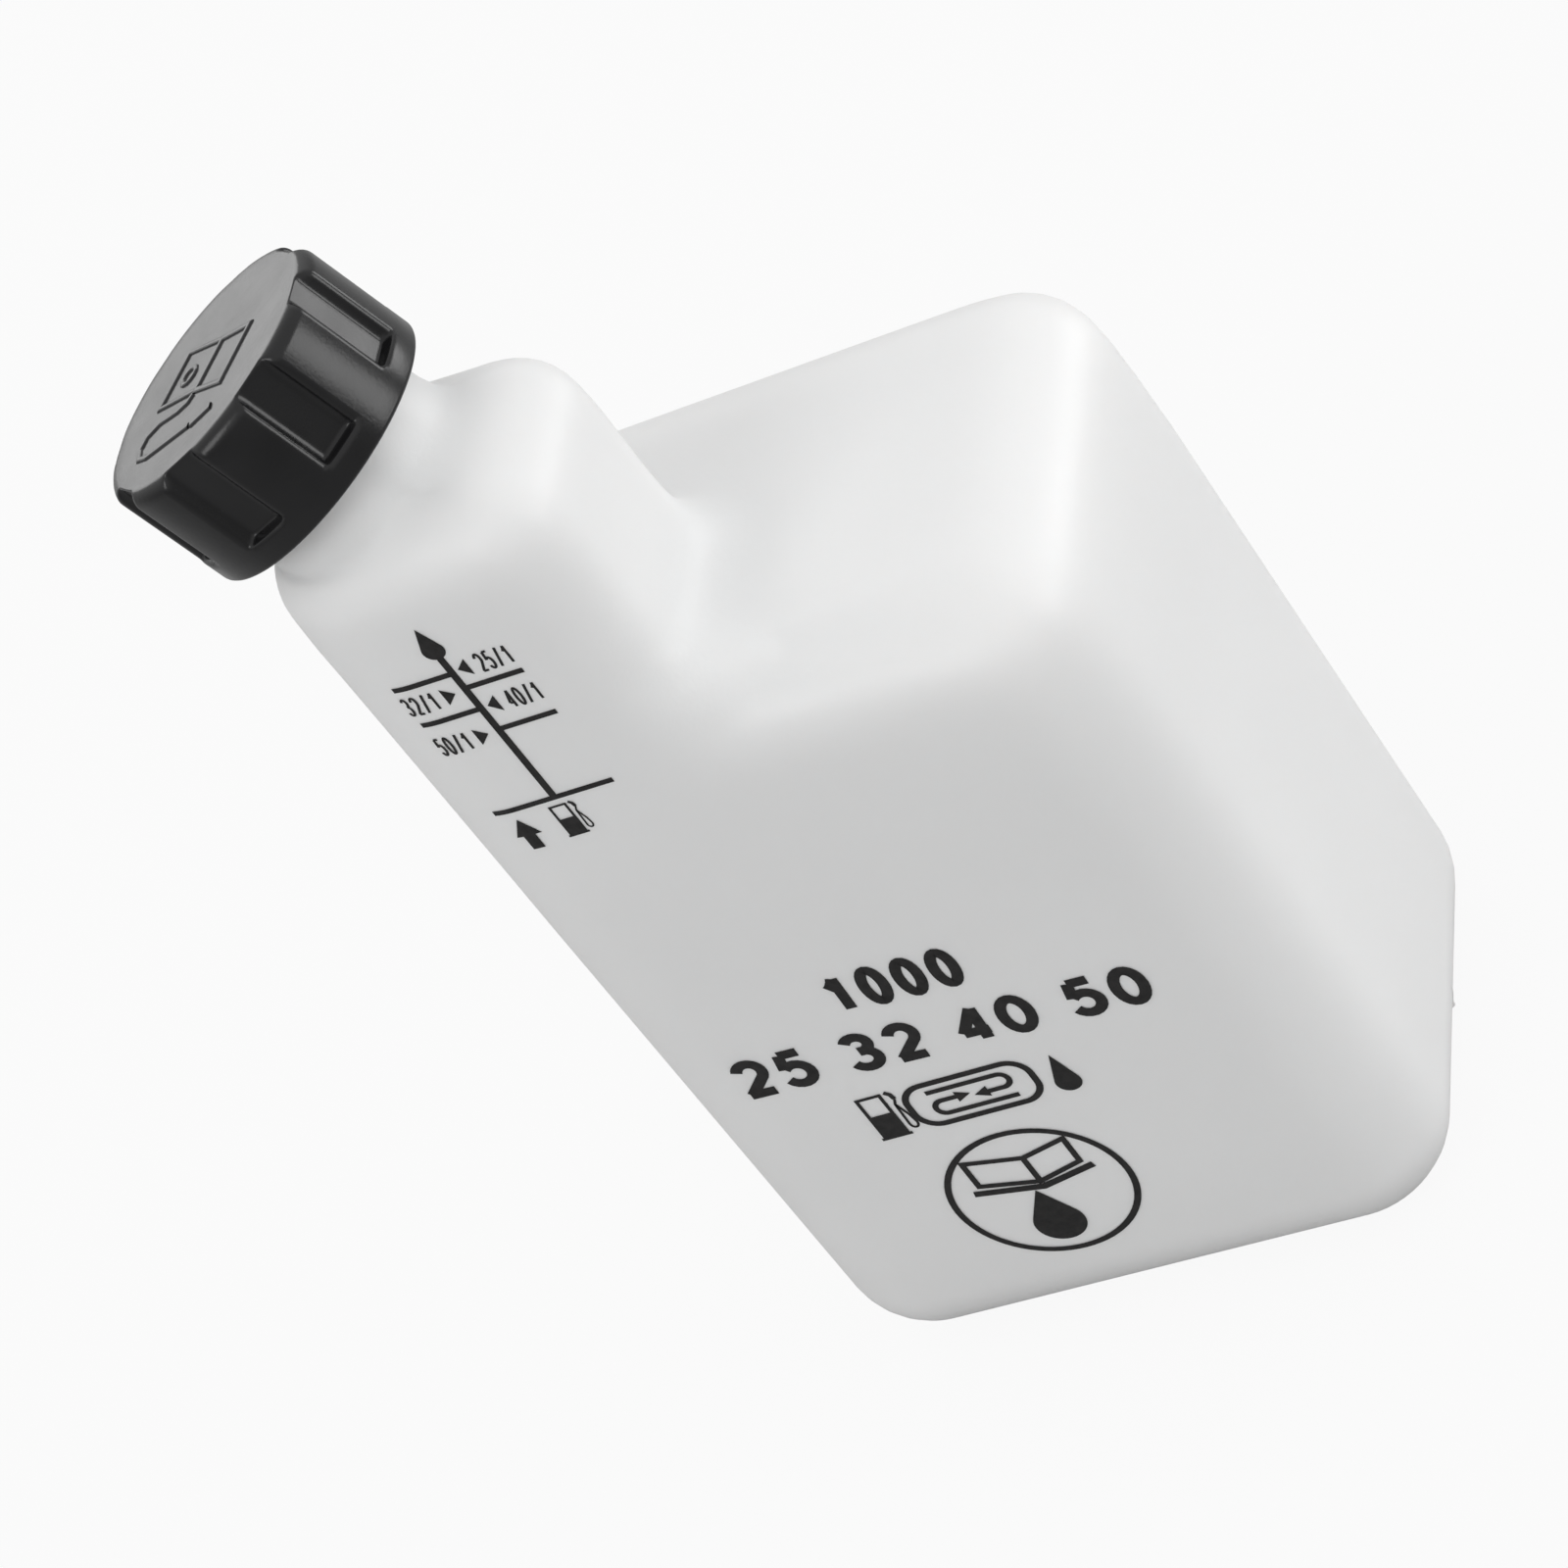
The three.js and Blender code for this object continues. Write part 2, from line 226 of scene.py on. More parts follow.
# The loft's profile in one direction: the recess and rim of the base, and the rounding up to the wall
def base_profile(angle, inset, count):
    radius = BASE_EDGE - inset
    point, out = wall_at(body_outline(inset), angle)
    rounding = []
    for t in steps(count):
        turn = t * math.pi / 2
        x, y = point - out * radius * (1 - math.sin(turn)) + COLUMN_MIDDLE
        rounding.append(np.array([x, y, BASE_EDGE - radius * math.cos(turn)]))

    def drawn_in(width, height):
        x = rounding[0][0] * (1 - width / (BODY_WIDTH / 2 - BASE_EDGE))
        y = rounding[0][1] * (1 - width / (BODY_DEPTH / 2 - BASE_EDGE))
        return np.array([x, y, height])

    recess = [drawn_in(RIM_WIDTH + RECESS_SLOPE * (1 - t), inset + BASE_RECESS * smoothstep(1 - t))
              for t in steps(4)]
    innermost = BODY_DEPTH / 2 - BASE_EDGE - BASE_MIDDLE_REACH
    middle = [drawn_in(lerp(innermost, RIM_WIDTH + RECESS_SLOPE, t), inset + BASE_RECESS)
              for t in steps(3)[:-1]]
    return middle + recess + rounding


# The shoulder's rounding, its flat and the fillet into the column, pressed towards one flush wall where the
# body's wall and the column's meet
def shoulder_profile(angle, inset, count):
    outer = SHOULDER_EDGE - inset
    inner = SHOULDER_FILLET + inset
    top = SHOULDER_HEIGHT - inset
    wide = reach(body_outline(inset), angle)
    narrow = reach(column_outline(inset), angle)
    rounding_reach = wide - reach(body_outline(SHOULDER_EDGE), angle)
    fillet_reach = reach(column_outline(-SHOULDER_FILLET), angle) - narrow
    room = min(1, (wide - narrow) / (rounding_reach + fillet_reach))
    rounding = []
    fillet = []
    for t in steps(count):
        turn = t * math.pi / 2
        taken = wide - reach(body_outline(SHOULDER_EDGE - outer * math.cos(turn)), angle)
        rounding.append((wide - room * taken, top - outer + outer * math.sin(turn)))
        left = reach(column_outline(inner * math.sin(turn) - SHOULDER_FILLET), angle) - narrow
        fillet.append((narrow + room * left, top + inner * (1 - math.cos(turn))))
    flat = [(lerp(rounding[-1][0], fillet[0][0], t), top) for t in steps(count)][1:-1]
    stepped = rounding + flat + fillet
    points = []
    for i, (radius, height) in enumerate(stepped):
        t = i / (len(stepped) - 1)
        flush_radius = lerp(wide, narrow, smoothstep(t))
        flush_height = lerp(top - outer, top + inner, t)
        point = in_plan(angle, lerp(flush_radius, radius, room), lerp(flush_height, height, room))
        point[2] -= (BODY_WIDTH / 2 - point[0]) * math.tan(SHOULDER_SLOPE)
        points.append(point)
    return points


def bezier(a, b, c, d, t):
    s = 1 - t
    return a * s ** 3 + 3 * b * s * s * t + 3 * c * s * t * t + d * t ** 3


# The column's rounded top and its blend into the leaning neck
def top_curve(angle, inset, neck_radius, count):
    radius = COLUMN_EDGE - inset
    top = COLUMN_HEIGHT - inset
    wall = reach(column_outline(inset), angle)
    root = neck_point(neck_radius, angle, NECK_ROOT_RISE)
    outward = np.array([math.cos(angle), math.sin(angle), 0])
    root_reach = (root - in_plan(angle, 0, root[2])) @ outward
    share = max(wall - root_reach, 0) * TOP_ROUNDING_SHARE
    last_turn = min(math.acos(max(1 - share / radius, 0)), STEEPEST_TOP_ROUNDING)
    rounding = []
    for t in steps(count):
        turn = t * last_turn
        depth = inset + radius * (1 - math.cos(turn))
        height = top - radius + radius * math.sin(turn)
        rounding.append(in_plan(angle, reach(column_outline(depth), angle), height))
    start = rounding[-1]
    pull = np.linalg.norm(root - start) * NECK_BLEND_PULL
    leaving = -outward * math.sin(last_turn) + np.array([0, 0, math.cos(last_turn)])
    blend = [bezier(start, start + leaving * pull, root - AXIS * pull, root, t) for t in steps(count)]
    return rounding + blend[1:]


def spread(start, end, count):
    return [lerp(start, end, t) for t in steps(count)][1:-1]


def wall_profile(angle, inset, neck_radius, count):
    base = base_profile(angle, inset, count)
    shoulder = shoulder_profile(angle, inset, count)
    top = top_curve(angle, inset, neck_radius, count)
    body_wall = spread(base[-1], shoulder[0], BODY_WALL_STEPS)
    column_wall = spread(shoulder[-1], top[0], COLUMN_WALL_STEPS)
    return base + body_wall + shoulder + column_wall + top


def lip_profile(angle):
    bore = NECK_RADIUS - NECK_WALL
    outside = []
    inside = []
    for t in steps(4):
        turn = t * math.pi / 2
        radius = NECK_RADIUS - LIP_ROUNDING * (1 - math.cos(turn))
        outside.append(neck_point(radius, angle, NECK_LENGTH - LIP_ROUNDING * (1 - math.sin(turn))))
        radius = bore + LIP_ROUNDING * (1 - math.sin(turn))
        inside.append(neck_point(radius, angle, NECK_LENGTH - LIP_ROUNDING * (1 - math.cos(turn))))
    return outside + inside


def to_frame(points):
    return [Vector(point) * MM + BODY_MIDDLE * MM for point in points]


def new_object(name, points, faces, smooth=True):
    mesh = bpy.data.meshes.new(name)
    mesh.from_pydata(points, [], faces)
    mesh.validate()
    mesh.update()
    for polygon in mesh.polygons:
        polygon.use_smooth = smooth
    piece = bpy.data.objects.new(name, mesh)
    bpy.context.scene.collection.objects.link(piece)
    return piece


def ring_faces(ring_count, around, first=0):
    faces = []
    for ring in range(ring_count - 1):
        low = first + ring * around
        for k in range(around):
            following = (k + 1) % around
            faces.append((low + k, low + following, low + around + following, low + around + k))
    return faces


def build_bottle():
    bore = NECK_RADIUS - NECK_WALL
    columns = []
    for angle in loft_directions():
        outer = wall_profile(angle, 0, NECK_RADIUS, OUTER_STEPS)
        inner = wall_profile(angle, WALL, bore, INNER_STEPS)
        columns.append(outer + lip_profile(angle) + inner[::-1])
    around = len(columns)
    rings = len(columns[0])
    points = [column[i] for i in range(rings) for column in columns]
    faces = ring_faces(rings, around)
    points += [np.array([0, 0, BASE_RECESS]), np.array([0, 0, BASE_RECESS + WALL])]
    last = (rings - 1) * around
    for k in range(around):
        following = (k + 1) % around
        faces.append((len(points) - 2, following, k))
        faces.append((len(points) - 1, last + k, last + following))
    shell = new_object("bottle_shell", to_frame(points), faces)
    soften(shell)
    return shell


def soften(shell):
    soft = bmesh.new()
    soft.from_mesh(shell.data)
    for low, high, passes in SOFT_ZONES:
        inside = [vertex for vertex in soft.verts if low * MM < vertex.co.z < high * MM]
        for _ in range(passes):
            bmesh.ops.smooth_vert(soft, verts=inside, factor=0.5,
                                  use_axis_x=True, use_axis_y=True, use_axis_z=True)
    soft.to_mesh(shell.data)
    soft.free()


def ramp(value, start, end):
    return smoothstep((value - start) / (end - start))


# The cap's rings: around the pockets' lower ends in millimetres from there, and on the flat top in shares of
# its radius. Then the steps from column to column over a pocket, a flank and a ridge.
GRIP_END_RINGS = (-1.2, -0.35, -0.2, -0.05, 0.1, 0.22, 0.35, 1.0)
CAP_TOP_RINGS = (0.93, 0.7, 0.4, 0.15)
POCKET_STEPS = 6
FLANK_STEPS = 10
RIDGE_STEPS = 8


# One turn of the cap's columns, close together at the flanks of each grip pocket
def cap_angles():
    half = GRIP_WIDTH / 2 / CAP_RADIUS
    side = FLANK_REACH / CAP_RADIUS
    step = TURN / GRIPS
    angles = []
    for grip in range(GRIPS):
        middle = GRIP_TURN + grip * step
        flank = [side * (1 - 2 * (1 - t) ** 2) for t in steps(FLANK_STEPS)][1:]
        angles += [middle - half - out for out in flank[::-1]]
        angles += [middle + lerp(-half + side, half - side, t) for t in steps(POCKET_STEPS)]
        angles += [middle + half + out for out in flank]
        ridge = lerp(middle + half + side, middle + step - half - side, 0.5)
        reach_to = step / 2 - half - side
        angles += [ridge + reach_to * lerp(-1, 1, t) for t in steps(RIDGE_STEPS)[1:-1]]
    return angles


# How far a direction lies in a pocket, from 0 on a ridge to 1, with rounded flanks between
def pocket_share(angle):
    step = TURN / GRIPS
    off = abs((angle - GRIP_TURN + step / 2) % step - step / 2) * CAP_RADIUS
    t = min(max((off - GRIP_WIDTH / 2 + FLANK_REACH) / (2 * FLANK_REACH), 0), 1)
    return 1 - math.sqrt(1 - (1 - t) ** 2)


def cap_outer_radius(angle, height, base_radius):
    step = TURN / GRIPS
    off = (angle - GRIP_TURN + step / 2) % step - step / 2
    floor = (CAP_RADIUS - GRIP_DEPTH) / math.cos(off)
    share = pocket_share(angle) * ramp(height, GRIP_BAND - GRIP_END_REACH, GRIP_BAND + GRIP_END_REACH)
    return min(base_radius, lerp(base_radius, floor, share))


def cap_rings():
    rings = [(CAP_BORE + CAP_BORE_CHAMFER, 0.0), (CAP_RADIUS - CAP_RIM_CHAMFER, 0.0)]
    for t in steps(4)[1:]:
        turn = t * math.pi / 2
        radius = CAP_RADIUS - CAP_RIM_CHAMFER * (1 - math.sin(turn))
        rings.append((radius, CAP_RIM_CHAMFER * (1 - math.cos(turn))))
    rings += [(CAP_RADIUS, GRIP_BAND + offset) for offset in GRIP_END_RINGS]
    shoulder = CAP_HEIGHT - CAP_TOP_ROUNDING
    rings += [(CAP_RADIUS, lerp(rings[-1][1], shoulder, t)) for t in steps(4)[1:]]
    for t in steps(8)[1:]:
        turn = t * math.pi / 2
        radius = CAP_RADIUS - CAP_TOP_ROUNDING * (1 - math.cos(turn))
        rings.append((radius, shoulder + CAP_TOP_ROUNDING * math.sin(turn)))
    return rings


def cap_place(radius, angle, height):
    return neck_point(radius, angle, CAP_STANDOFF + height)


def build_cap():
    angles = cap_angles()
    around = len(angles)
    points = []
    outer = cap_rings()
    for radius, height in outer:
        points += [cap_place(cap_outer_radius(a, height, radius), a, height) for a in angles]
    edge = CAP_RADIUS - CAP_TOP_ROUNDING
    for share in CAP_TOP_RINGS:
        points += [cap_place(share * cap_outer_radius(a, CAP_HEIGHT, edge), a, CAP_HEIGHT) for a in angles]
    outer_count = len(outer) + len(CAP_TOP_RINGS)
    faces = ring_faces(outer_count, around)
    last_top = (outer_count - 1) * around
    top_centre = len(points)
    points.append(cap_place(0, 0, CAP_HEIGHT))
    inner = [(CAP_BORE, CAP_BORE_CHAMFER), (CAP_BORE, CAP_CEILING / 2),
             (CAP_BORE, CAP_CEILING - CEILING_CHAMFER), (CAP_BORE - CEILING_CHAMFER, CAP_CEILING),
             (CAP_BORE / 2, CAP_CEILING)]
    first_inner = len(points)
    for radius, height in inner:
        points += [cap_place(radius, a, height) for a in angles]
    faces += [face[::-1] for face in ring_faces(len(inner), around, first_inner)]
    last_inner = first_inner + (len(inner) - 1) * around
    ceiling = len(points)
    points.append(cap_place(0, 0, CAP_CEILING))
    for k in range(around):
        following = (k + 1) % around
        faces.append((last_top + k, last_top + following, top_centre))
        faces.append((following, k, first_inner + k, first_inner + following))
        faces.append((last_inner + following, last_inner + k, ceiling))
    return new_object("cap_shell", to_frame(points), faces)


# A flank of the thread from root to crest, in shares of its height and of its half width
THREAD_FLANK = [(0.0, 1.0), (0.75, 0.62), (1.0, 0.35)]
SECTIONS_A_TURN = 96


# A screw thread: a ridge on a helix that runs out smoothly at both ends
def build_thread(name, root_radius, inward, start, turns, phase):
    sections = int(turns * SECTIONS_A_TURN)
    sign = -1 if inward else 1
    half = THREAD_WIDTH / 2
    points = []
    for t in steps(sections):
        angle = phase + t * turns * TURN
        fade = smoothstep(t * turns / THREAD_RUN_OUT) * smoothstep((1 - t) * turns / THREAD_RUN_OUT)
        height = THREAD_HEIGHT * fade
        rise = start + THREAD_PITCH * t * turns
        flank = [(-THREAD_ROOT, half)] + [(height * out, half * up) for out, up in THREAD_FLANK]
        for out, up in [(out, -up) for out, up in flank] + flank[::-1]:
            points.append(neck_point(root_radius + sign * out, angle, rise + up))
    width = 2 * (len(THREAD_FLANK) + 1)
    faces = []
    for i in range(sections):
        for j in range(width):
            following = (j + 1) % width
            face = (i * width + j, i * width + following, (i + 1) * width + following, (i + 1) * width + j)
            faces.append(face if inward else face[::-1])
    first = tuple(range(width))
    last = tuple(sections * width + j for j in range(width))
    faces.append(first[::-1] if inward else first)
    faces.append(last if inward else last[::-1])
    return new_object(name, to_frame(points), faces)


# Traces of the mould: its parting line over the base's rounding, with a nub at the right, and the pinch-off
# weld under the base. The line's places are degrees of the rounding, from the floor up to the wall.
SEAM_WIDTH = 0.5
SEAM_HEIGHT = 0.12
SEAM_START = 12.0
SEAM_END = 76.0
NUB_TURN = 58.0
NUB_REACH = 5.0
NUB_HEIGHT = 0.45
WELD_HALF_LENGTH = 24.0
WELD_WIDTH = 1.6
WELD_HEIGHT = 0.5
TRACE_ROOT = 0.1
TRACE_FADE_STEPS = 4

# A trace's section, in shares of its half width and of its height
TRACE_SECTION = ((-1, 0), (-0.6, 0.7), (0, 1), (0.6, 0.7), (1, 0))


def face_outwards(piece):
    turned = bmesh.new()
    turned.from_mesh(piece.data)
    bmesh.ops.recalc_face_normals(turned, faces=turned.faces)
    turned.to_mesh(piece.data)
    turned.free()


def trace_points(path, outward, width, heights):
    points = []
    for i, (point, out, height) in enumerate(zip(path, outward, heights)):
        fade = smoothstep(min(i, len(path) - 1 - i) / TRACE_FADE_STEPS)
        for across, rise in TRACE_SECTION:
            above = height * fade * rise - TRACE_ROOT * (1 - rise)
            points.append(point + np.array([0, across * width / 2, 0]) + out * above)
    return points


def build_trace(name, path, outward, width, heights):
    count = len(TRACE_SECTION)
    faces = []
    for i in range(len(path) - 1):
        for j in range(count):
            beside = (j + 1) % count
            faces.append((count * i + j, count * i + beside, count * (i + 1) + beside, count * (i + 1) + j))
    faces += [tuple(range(count)), tuple(count * len(path) - 1 - j for j in range(count))]
    trace = new_object(name, to_frame(trace_points(path, outward, width, heights)), faces)
    face_outwards(trace)
    return trace


def build_mould_traces():
    pieces = []
    for side, name in ((1, "seam_right"), (-1, "seam_left")):
        path = []
        outward = []
        heights = []
        for t in steps(64):
            degrees = lerp(SEAM_START, SEAM_END, t)
            nub = smoothstep(1 - abs(degrees - NUB_TURN) / NUB_REACH) if side > 0 else 0
            heights.append(SEAM_HEIGHT + NUB_HEIGHT * nub)
            turn = math.radians(degrees)
            out = np.array([side * math.sin(turn), 0, -math.cos(turn)])
            centre = np.array([side * (BODY_WIDTH / 2 - BASE_EDGE), 0, BASE_EDGE])
            path.append(centre + out * BASE_EDGE)
            outward.append(out)
        pieces.append(build_trace(name, path, outward, SEAM_WIDTH, heights))
    path = [np.array([lerp(-WELD_HALF_LENGTH, WELD_HALF_LENGTH, t), 0, BASE_RECESS]) for t in steps(40)]
    outward = [np.array([0, 0, -1])] * len(path)
    pieces.append(build_trace("pinch_off_weld", path, outward, WELD_WIDTH, [WELD_HEIGHT] * len(path)))
    return pieces


# Flat ribbons along a path, for the print and for the raised emblem
MITRE_LIMIT = 0.6


def ribbon_sides(path, width, closed=False):
    points = [Vector(point) for point in path]
    count = len(points)
    sides = ([], [])
    for i, point in enumerate(points):
        arriving = (point - points[i - 1]).normalized() if closed or i > 0 else None
        leaving = (points[(i + 1) % count] - point).normalized() if closed or i < count - 1 else None
        arriving = arriving or leaving
        leaving = leaving or arriving
        along = (arriving + leaving).normalized()
        normal = Vector((-along.y, along.x))
        stretch = 1 / max(normal.dot(Vector((-leaving.y, leaving.x))), MITRE_LIMIT)
        for side, sign in zip(sides, (1, -1)):
            side.append(point + normal * sign * width / 2 * stretch)
    return sides


def arc(cx, cy, rx, ry, start, end, count=16):
    turns = [math.radians(lerp(start, end, t)) for t in steps(count)]
    return [(cx + rx * math.cos(turn), cy + ry * math.sin(turn)) for turn in turns]


# Print on the front face, in millimetres from the left wall and the base. Each part lies a step further out.
PRINT_LIFT = 0.05
INK_STEP = 0.0006
WRAP_STRIP = 0.5
ink_parts = []


def print_place(x, z):
    into_edge = max(BODY_EDGE - x, 0)
    y = BODY_EDGE - math.sqrt(BODY_EDGE ** 2 - into_edge ** 2) - PRINT_LIFT
    return (Vector((x - BODY_WIDTH / 2, y - BODY_DEPTH / 2, z)) + BODY_MIDDLE) * MM


# A flat shape is cut into strips where it wraps around the body's rounded edge
def ink_mesh(points, faces):
    mesh = bpy.data.meshes.new("ink")
    mesh.from_pydata([(x, 0, z) for x, z in points], [], faces)
    cut = bmesh.new()
    cut.from_mesh(mesh)
    bmesh.ops.triangulate(cut, faces=cut.faces)
    first = math.ceil(min(x for x, _ in points) / WRAP_STRIP)
    for strip in range(first, math.ceil(BODY_EDGE / WRAP_STRIP)):
        whole = list(cut.verts) + list(cut.edges) + list(cut.faces)
        bmesh.ops.bisect_plane(cut, geom=whole, plane_co=(strip * WRAP_STRIP, 0, 0), plane_no=(1, 0, 0))
    step_out = Vector((0, -INK_STEP * len(ink_parts) * MM, 0))
    for vertex in cut.verts:
        vertex.co = print_place(vertex.co.x, vertex.co.z) + step_out
    cut.normal_update()
    bmesh.ops.reverse_faces(cut, faces=[face for face in cut.faces if face.normal.y > 0])
    cut.to_mesh(mesh)
    cut.free()
    ink_parts.append(mesh)


def ink_polygon(points):
    ink_mesh(points, [tuple(range(len(points)))])


def ink_ribbon(path, width, closed=False):
    left, right = ribbon_sides(path, width, closed)
    count = len(left)
    faces = [(i, (i + 1) % count, count + (i + 1) % count, count + i)
             for i in range(count if closed else count - 1)]
    ink_mesh([tuple(point) for point in left + right], faces)


def ink_line(x0, z0, x1, z1, width):
    parts = max(1, round(abs(x1 - x0)))
    ink_ribbon([(lerp(x0, x1, t), lerp(z0, z1, t)) for t in steps(parts)], width)


# Digits and the slash as strokes in a box one wide and one high, and whether the strokes are closed
DIGITS = {
    "0": ([arc(0.5, 0.5, 0.5, 0.5, 0, 345, 23)], True),
    "1": ([[(0.62, 0), (0.62, 1)], [(0.62, 1.0), (0.5, 0.88), (0.3, 0.76), (0.12, 0.7)]], False),
    "2": ([arc(0.5, 0.7, 0.48, 0.3, 165, -38) + [(0.04, 0.0)], [(-0.04, 0), (1, 0)]], False),
    "3": ([arc(0.47, 0.76, 0.44, 0.24, 160, -100), arc(0.47, 0.27, 0.51, 0.27, 100, -160)], False),
    "4": ([[(0.76, 0), (0.76, 1)], [(0.76, 1), (0.0, 0.27)], [(0.0, 0.27), (1.02, 0.27)]], False),
    "5": ([[(0.94, 1), (0.17, 1)], [(0.17, 1), (0.06, 0.52)], arc(0.46, 0.32, 0.52, 0.32, 140, -155)], False),
    "/": ([[(0.1, -0.04), (0.9, 1.04)]], False),
}

# Shares of the step from digit to digit: a digit's width and a space's
GLYPH_SHARE = 0.84
SPACE_SHARE = 0.55


def ink_number(digits, x, z, height, advance, stroke, turn=0.0):
    glyph_width = advance * GLYPH_SHARE - stroke
    glyph_height = height - stroke
    place = 0
    for digit in digits:
        if digit == " ":
            place += SPACE_SHARE
            continue
        lines, closed = DIGITS[digit]
        for line in lines:
            path = []
            for u, v in line:
                along = place * advance + stroke / 2 + u * glyph_width
                above = stroke / 2 + v * glyph_height
                path.append((x + along * math.cos(turn) - above * math.sin(turn),
                             z + along * math.sin(turn) + above * math.cos(turn)))
            ink_ribbon(path, stroke, closed)
        place += 1


# A drop with its tip at the top, leaning about its lowest point
def drop_outline(cx, tip_z, height, width, lean=0.0):
    radius = width / 2
    centre_z = tip_z - height + radius
    half = math.acos(radius / (height - radius))
    shape = [(0, tip_z)] + [(radius * math.cos(a), centre_z + radius * math.sin(a))
                            for a in (math.pi / 2 - half - (TURN - 2 * half) * t for t in steps(24))]
    bottom = tip_z - height
    return [(cx + u * math.cos(lean) - (v - bottom) * math.sin(lean),
             bottom + u * math.sin(lean) + (v - bottom) * math.cos(lean)) for u, v in shape]


# A fuel pump with its hose, in units of its size from its base's left end
def ink_pump(x, z, size):
    def at(points):
        return [(x + u * size, z + v * size) for u, v in points]

    ink_polygon(at([(-0.35, 0), (4.75, 0), (4.75, 0.6), (-0.35, 0.6)]))
    ink_polygon(at([(0, 0.6), (4.4, 0.6), (4.4, 5.6), (0, 5.6)]))
    ink_ribbon(at([(0.3, 5.6), (0.3, 9.7), (4.1, 9.7), (4.1, 5.6)]), 0.6 * size)
    ink_ribbon(at([(5.0, 10), (5.7, 9.3), (5.9, 8.2)]), 0.8 * size)
    hose = [(5.9, 8.2), (5.4, 7.0)] + arc(5.9, 2.2, 0.65, 1.0, 180, 360, 8) + [(6.2, 4.4), (5.4, 7.0)]
    ink_ribbon(at(hose), 0.42 * size)


# The oil scale on the column: its upright line, the marks to both sides of it, and the fill line at its foot
SCALE_X = 23.1
SCALE_TOP = 170.6
FILL_LINE = 139.1
FILL_LINE_ENDS = (12.8, 32.8)
MARKS_TO_THE_RIGHT = (163.4, 154.4)
MARKS_TO_THE_LEFT = (166.6, 159.0)
MARK_ENDS = (13.1, 32.7)
MARK_WIDTH = 0.95
SCALE_WIDTH = 1.15
RIGHT_LABELS = {"25/1": 165.1, "40/1": 157.2}
RIGHT_LABEL_X = 27.3
LEFT_LABELS = {"32/1": 161.0, "50/1": 152.2}
LEFT_LABEL_X = 12.7
LABEL_LOOK = {"height": 3.8, "advance": 1.45, "stroke": 0.42}
RIGHT_POINTER = ((24.2, 1.9), (26.0, 0.2), (26.0, 3.5))
LEFT_POINTER = ((19.4, 0.3), (21.3, 2.0), (19.4, 3.6))


def print_scale():
    ink_line(FILL_LINE_ENDS[0], FILL_LINE, FILL_LINE_ENDS[1], FILL_LINE, MARK_WIDTH)
    ink_ribbon([(SCALE_X, FILL_LINE), (SCALE_X, SCALE_TOP)], SCALE_WIDTH)
    for z in MARKS_TO_THE_RIGHT:
        ink_line(SCALE_X, z, MARK_ENDS[1], z, MARK_WIDTH)
    for z in MARKS_TO_THE_LEFT:
        ink_line(MARK_ENDS[0], z, SCALE_X, z, MARK_WIDTH)
    ink_polygon(drop_outline(SCALE_X, tip_z=176.2, height=6.4, width=3.5, lean=math.radians(3)))
    for label, z in RIGHT_LABELS.items():
        ink_number(label, x=RIGHT_LABEL_X, z=z, **LABEL_LOOK)
        ink_polygon([(x, z + up) for x, up in RIGHT_POINTER])
    for label, z in LEFT_LABELS.items():
        ink_number(label, x=LEFT_LABEL_X, z=z, **LABEL_LOOK)
        ink_polygon([(x, z + up) for x, up in LEFT_POINTER])
    ink_up_arrow(x=15.5, z=130.6)
    ink_pump(x=21.0, z=130.9, size=0.67)


def ink_up_arrow(x, z):
    shaft = 1.0
    head = 2.1
    neck = z + 2.9
    tip = z + 6.5
    ink_polygon([(x, tip), (x + head, neck), (x + shaft, neck), (x + shaft, z),
                 (x - shaft, z), (x - shaft, neck), (x - head, neck)])


# Two arrows that pass each other in a rounded frame
def print_mixing_mark(cx, cz):
    half_width = 10.4
    half_height = 4.6
    corner = 3.6
    outline_path = []
    for sx, sz, start in ((1, 1, 0), (-1, 1, 90), (-1, -1, 180), (1, -1, 270)):
        outline_path += arc(cx + sx * (half_width - corner), cz + sz * (half_height - corner), corner, corner,
                            start, start + 90, 10)
    ink_ribbon(outline_path, 1.1, True)
    for sign in (1, -1):
        bend = arc(5.2, 1.15, 1.5, 1.5, 90, -90, 12)
        path = [(-6.6, 2.65)] + bend + [(2.2, -0.35)]
        ink_ribbon([(cx + sign * u, cz + sign * v) for u, v in path], 0.95)
        head = [(2.6, 0.95), (0.2, -0.35), (2.6, -1.5)]
        ink_polygon([(cx + sign * u, cz + sign * v) for u, v in head])


# An open booklet over a drop, inside a ring
def print_booklet_mark(cx, cz):
    ring = 14.5
    ink_ribbon(arc(cx, cz, ring, ring, 0, 355, 71), 1.1, True)
    ink_polygon(drop_outline(cx - 1.0, cz + 0.5, 12.6, 8.4))
    spine = (0.8, 2.2)
    for sign in (-1, 1):
        page = [spine, (sign * 8.6, 4.4), (sign * 8.6, 10.2), (spine[0], 8.2)]
        ink_ribbon([(cx + u, cz + v) for u, v in page], 1.0, True)
    ink_ribbon([(cx + u, cz + v) for u, v in ((-10.2, 3.0), (0.8, 0.9), (10.2, 3.0))], 1.3)


def print_marks():
    tilt = math.radians(-2)
    ink_number("1000", x=37.4, z=81.3, height=8.8, advance=5.7, stroke=1.8, turn=tilt)
    ink_number("25 32 40 50", x=15.3, z=69.0, height=8.8, advance=7.15, stroke=1.85, turn=tilt)
    ink_pump(x=29.9, z=52.8, size=1.02)
    print_mixing_mark(cx=47.4, cz=57.8)
    ink_polygon(drop_outline(62.1, tip_z=61.6, height=8.7, width=4.2))
    print_booklet_mark(cx=46.5, cz=33.1)


